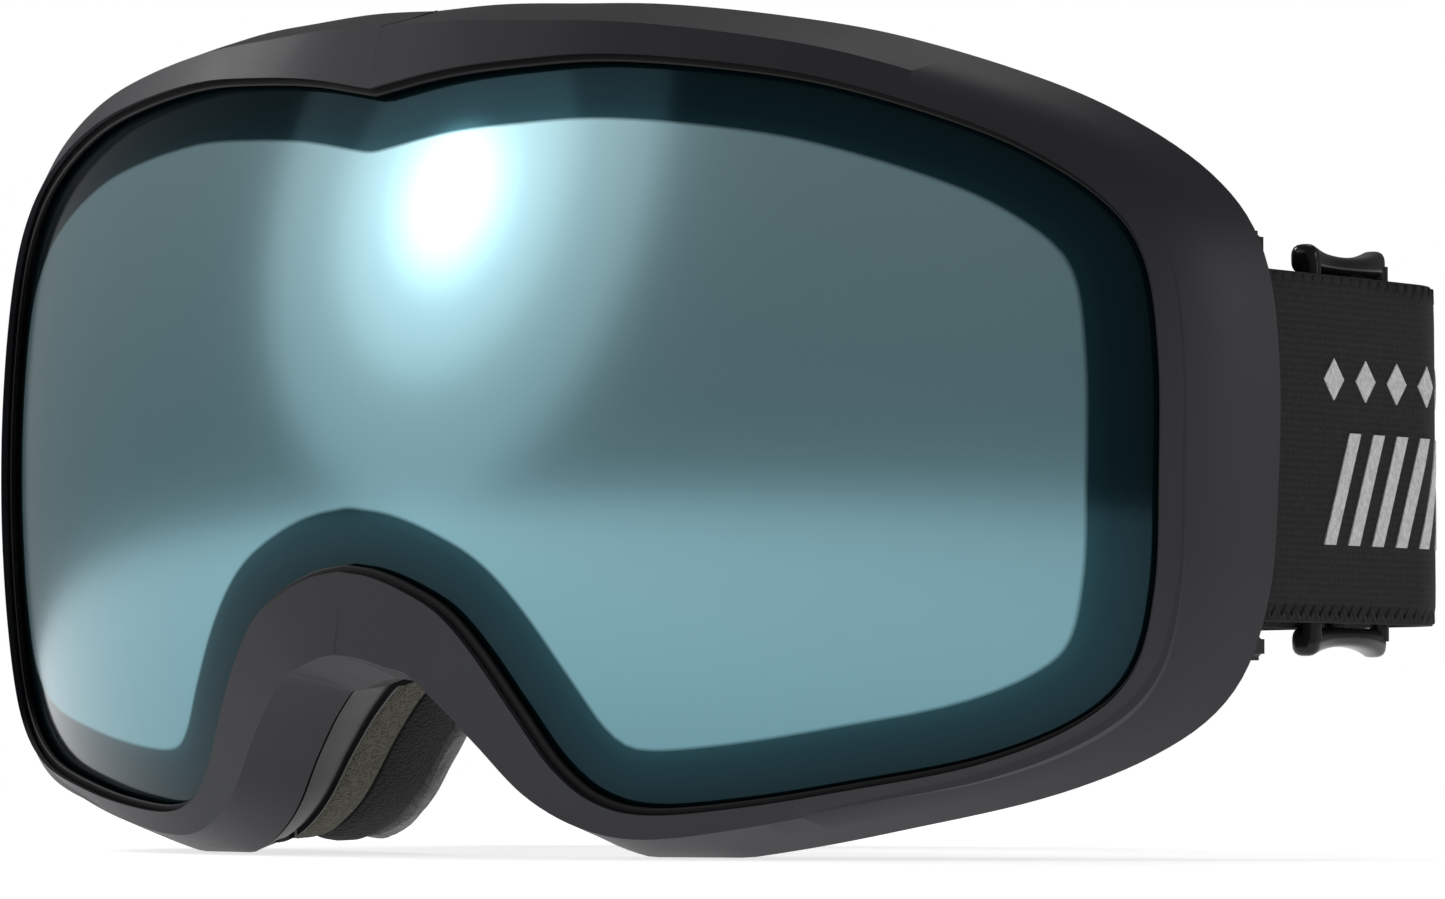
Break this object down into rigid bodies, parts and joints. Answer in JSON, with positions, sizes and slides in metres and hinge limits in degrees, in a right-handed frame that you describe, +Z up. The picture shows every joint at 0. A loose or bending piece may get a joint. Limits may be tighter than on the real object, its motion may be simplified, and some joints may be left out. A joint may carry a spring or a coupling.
{
  "type": "ski goggles",
  "caption": "Framed toric double-lens ski goggles with vented rear frame, layered face foam and an elastic strap with sliders.",
  "frame": {"origin": "on the plane the two lower lobes stand on, under the middle of the goggles' box", "axes": "+Z up, lens faces -Y, +X to the wearer's left"},
  "size_m": [0.1798, 0.1252, 0.0937],
  "materials": {
    "charcoal_frame": "matte moulded",
    "gasket_rubber": "matte",
    "mirror_lens": "teal mirror coating",
    "spacer_foam": "closed-cell foam",
    "clear_pane": "clear",
    "rear_plastic": "satin moulded",
    "vent_mesh": "open-cell foam",
    "olive_foam": "open-cell foam",
    "black_foam": "open-cell foam",
    "fleece": "brushed fleece",
    "bar_metal": "black plated",
    "webbing": "woven elastic",
    "slider_plastic": "gloss moulded",
    "silicone": "satin"
  },
  "bodies": {
    "goggles": {"front_frame": "charcoal_frame", "lens_gasket": "gasket_rubber", "outer_lens": "mirror_lens", "lens_spacer": "spacer_foam", "inner_lens": "clear_pane", "rear_frame": "rear_plastic", "top_vent_foam": "vent_mesh", "bottom_vent_foam_left": "vent_mesh", "bottom_vent_foam_right": "vent_mesh", "foam_base_layer": "olive_foam", "foam_comfort_layer": "black_foam", "fleece_layer": "fleece", "strap_bar_left": "bar_metal", "strap_bar_right": "bar_metal", "strap_band": "webbing", "strap_return_left": "webbing", "strap_return_right": "webbing", "silicone_grip_upper": "silicone", "silicone_grip_lower": "silicone"},
    "left_slider": {"slider_left": "slider_plastic", "sewn_end_left": "webbing"},
    "right_slider": {"slider_right": "slider_plastic", "sewn_end_right": "webbing"}
  },
  "joints": [
    {"name": "slider_left_slide", "type": "slide", "parent": "goggles", "child": "left_slider", "axis": [-0.1115, 0.9938, 0], "range_m": [-0.005, 0.0015], "deforming": ["strap_return_left"]},
    {"name": "slider_right_slide", "type": "slide", "parent": "goggles", "child": "right_slider", "axis": [0.1115, 0.9938, 0], "range_m": [-0.005, 0.0015], "deforming": ["strap_return_right"]}
  ]
}
